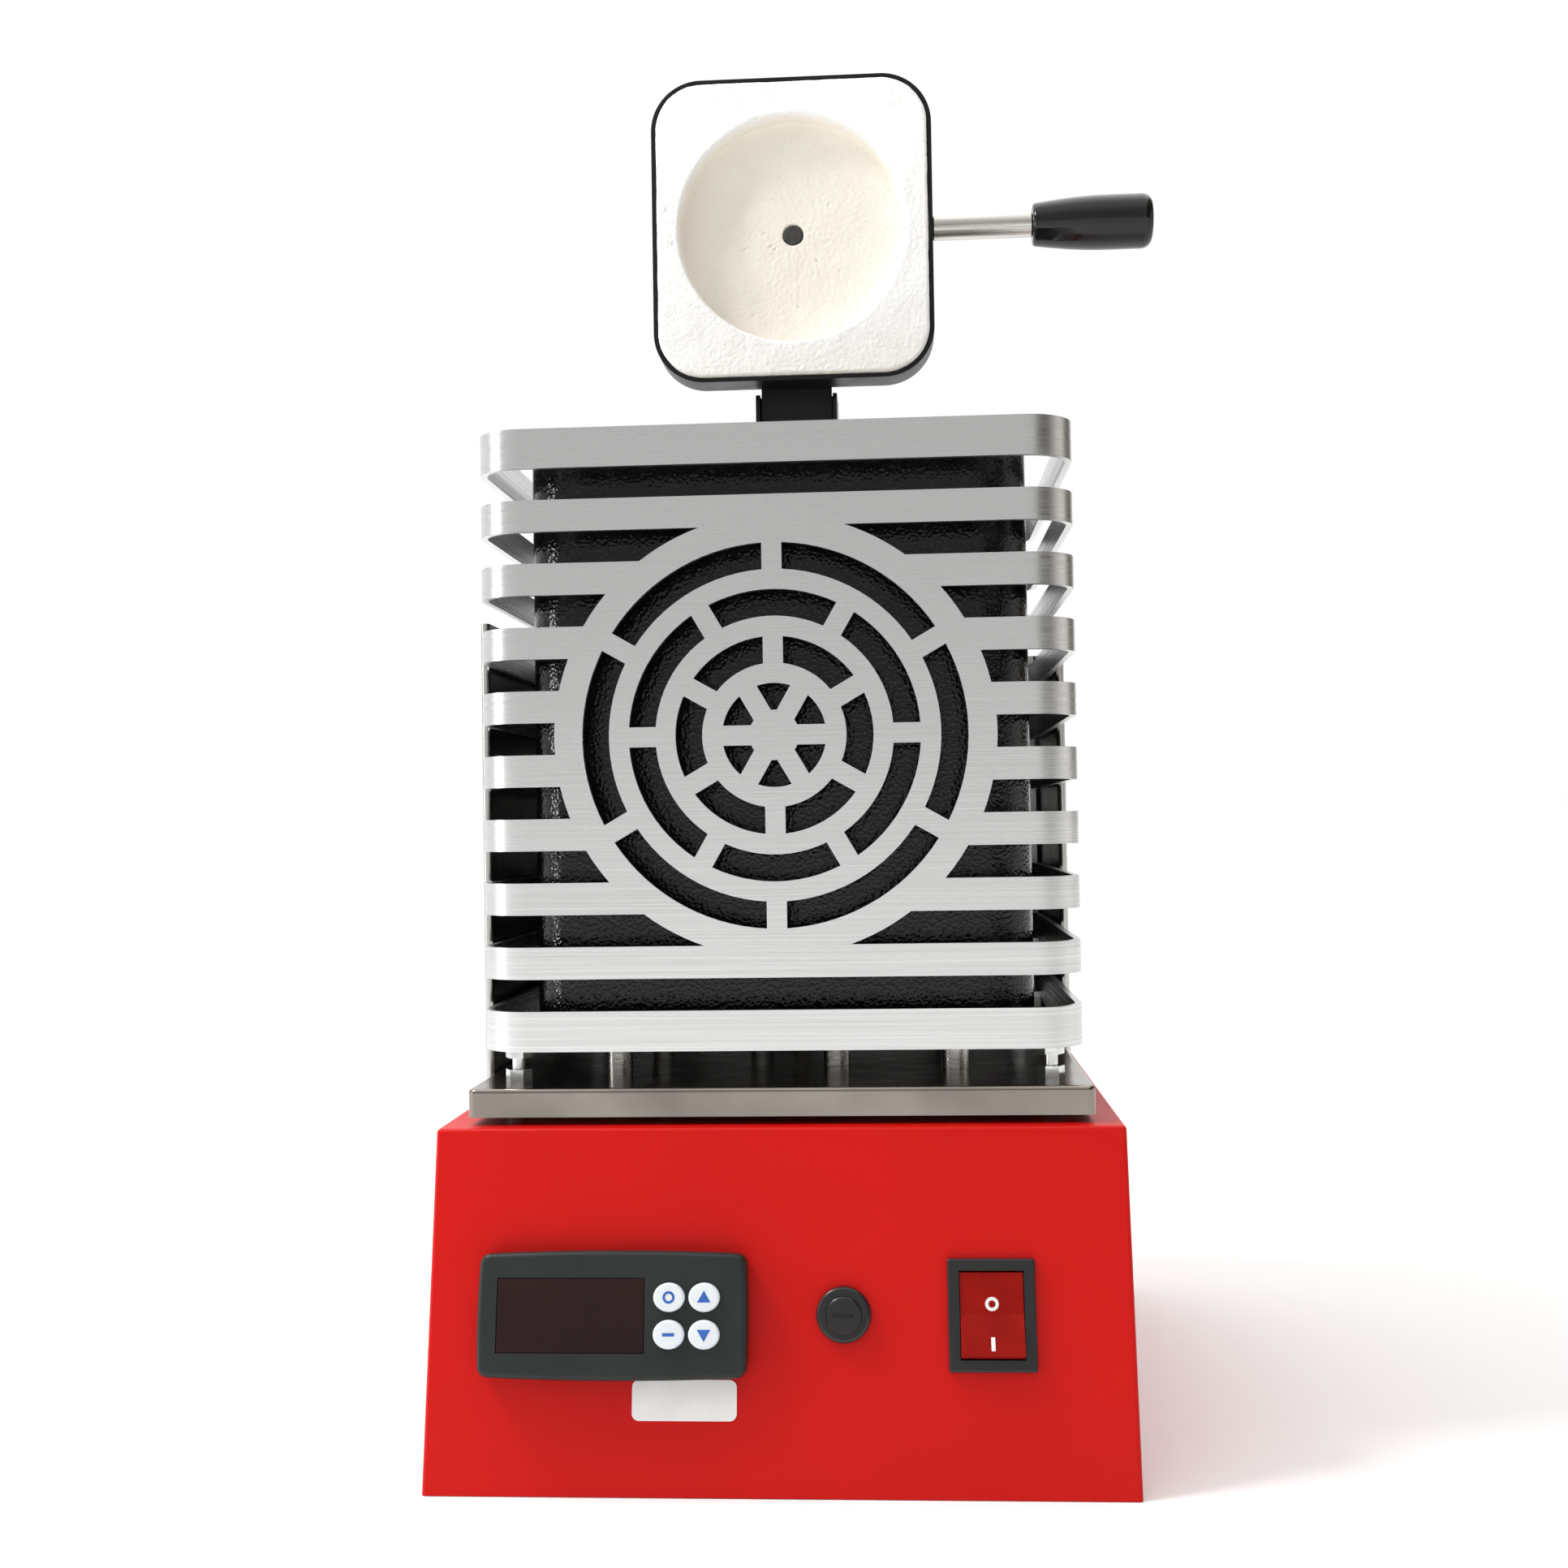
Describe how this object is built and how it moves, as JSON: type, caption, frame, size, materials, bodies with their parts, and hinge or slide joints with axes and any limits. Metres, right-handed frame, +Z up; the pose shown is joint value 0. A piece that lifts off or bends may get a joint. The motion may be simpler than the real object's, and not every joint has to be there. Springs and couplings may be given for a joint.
{
  "type": "bench-top electric kiln furnace",
  "caption": "Small electric crucible kiln: red control base, slotted aluminium guard round a black fibre-lined chamber, hinged lid standing open.",
  "frame": {"origin": "on the ground, under the middle of the firing chamber, in the bottom plate's underside", "axes": "+Z up along the chamber's axis; -Y to the front, where the control panel is; +X to the right, where the lid's handle points"},
  "size_m": [0.237, 0.236, 0.4682],
  "materials": {
    "red_enamel": "red powder coat, semi-gloss",
    "galvanised": "plain zinc-plated sheet",
    "bright_screw": "bright zinc plating",
    "black_plastic": "moulded black plastic, slight sheen",
    "brass": "plain brass",
    "white_label": "white film, blank",
    "bezel_grey": "dark grey plastic, fine texture",
    "display": "dark tinted acrylic",
    "board_green": "circuit board",
    "button_white": "white key caps",
    "fuse_glass": "glass tube with metal caps",
    "rocker_red": "translucent red plastic",
    "heatsink": "plain extruded aluminium",
    "wire_sleeve": "silicone sleeve",
    "stainless": "polished stainless sheet",
    "brushed_aluminium": "brushed along the sheet",
    "black_wrinkle": "black hammer paint, glossy and uneven",
    "black_steel": "black paint",
    "fibre_board": "white ceramic fibre board, vacuum formed",
    "refractory": "cast refractory, matt",
    "heating_wire": "oxidised resistance wire",
    "satin_steel": "turned steel",
    "grip_black": "glossy black phenolic"
  },
  "bodies": {
    "base_unit": {"base_housing": "red_enamel", "base_bottom_plate": "galvanised", "base_rear_panel": "red_enamel", "housing_screws": "bright_screw", "power_inlet": "black_plastic", "inlet_pins": "brass", "label_plate": "white_label", "controller_bezel": "bezel_grey", "controller_window": "display", "controller_board": "board_green", "controller_body": "black_plastic", "controller_clamp": "black_plastic", "fuse_holder": "black_plastic", "fuse_holder_nut": "black_plastic", "switch_frame": "black_plastic", "ssr_heatsink": "heatsink", "solid_state_relay": "black_plastic", "terminal_block": "white_label", "internal_wiring": "wire_sleeve", "drip_tray": "stainless", "tray_spacers": "bright_screw", "guard": "brushed_aluminium", "guard_studs": "bright_screw", "guard_nuts": "bright_screw", "heat_shield": "stainless", "shield_screws": "bright_screw", "casing_sleeve": "black_wrinkle", "casing_top_plate": "black_wrinkle", "casing_bottom_plate": "black_wrinkle", "casing_screws": "bright_screw", "support_posts": "satin_steel", "post_bolts": "bright_screw", "insulation_floor": "fibre_board", "insulation_wall": "fibre_board", "chamber_muffle": "refractory", "heating_coil": "heating_wire", "heater_terminals": "heating_wire", "feed_tubes": "satin_steel", "feed_insulators": "refractory", "hearth_disc": "refractory", "mouth_collar": "refractory", "thermocouple_probe": "refractory", "hinge_bracket": "black_steel", "hinge_pin": "satin_steel", "hinge_washers": "satin_steel"},
    "lid": {"lid_shell": "black_steel", "lid_insulation": "fibre_board", "lid_strap": "black_steel", "lid_fasteners": "bright_screw", "lid_anchor_screw": "satin_steel", "lid_handle_rod": "satin_steel", "lid_handle_grip": "grip_black"},
    "switch_rocker": {"switch_rocker": "rocker_red"},
    "fuse_carrier": {"fuse_carrier": "black_plastic", "fuse_cartridge": "fuse_glass"},
    "fuse_cap": {"fuse_cap": "black_plastic"},
    "button_menu": {"button_menu": "button_white"},
    "button_up": {"button_up": "button_white"},
    "button_set": {"button_set": "button_white"},
    "button_down": {"button_down": "button_white"}
  },
  "joints": [
    {"name": "lid_hinge", "type": "hinge", "parent": "base_unit", "child": "lid", "pos_m": [0, 0.074, 0.3367], "axis": [1, 0, 0], "range_deg": [0, 90]},
    {"name": "rocker_tilt", "type": "hinge", "parent": "base_unit", "child": "switch_rocker", "pos_m": [0.0602, -0.11033, 0.04767], "axis": [1, 0, 0], "range_deg": [0, 16]},
    {"name": "fuse_carrier_slide", "type": "slide", "parent": "base_unit", "child": "fuse_carrier", "axis": [0, -0.978, 0.2085], "range_m": [0, 0.032]},
    {"name": "fuse_cap_turn", "type": "hinge", "parent": "fuse_carrier", "child": "fuse_cap", "pos_m": [0.0187, -0.11316, 0.04827], "axis": [0, -0.978, 0.2085], "range_deg": [0, 60]},
    {"name": "button_menu_press", "type": "slide", "parent": "base_unit", "child": "button_menu", "axis": [0, 0.978, -0.2085], "range_m": [0, 0.0008], "stiffness_N_per_m": 600, "springref_m": -0.0006},
    {"name": "button_up_press", "type": "slide", "parent": "base_unit", "child": "button_up", "axis": [0, 0.978, -0.2085], "range_m": [0, 0.0008], "stiffness_N_per_m": 600, "springref_m": -0.0006},
    {"name": "button_set_press", "type": "slide", "parent": "base_unit", "child": "button_set", "axis": [0, 0.978, -0.2085], "range_m": [0, 0.0008], "stiffness_N_per_m": 600, "springref_m": -0.0006},
    {"name": "button_down_press", "type": "slide", "parent": "base_unit", "child": "button_down", "axis": [0, 0.978, -0.2085], "range_m": [0, 0.0008], "stiffness_N_per_m": 600, "springref_m": -0.0006}
  ]
}
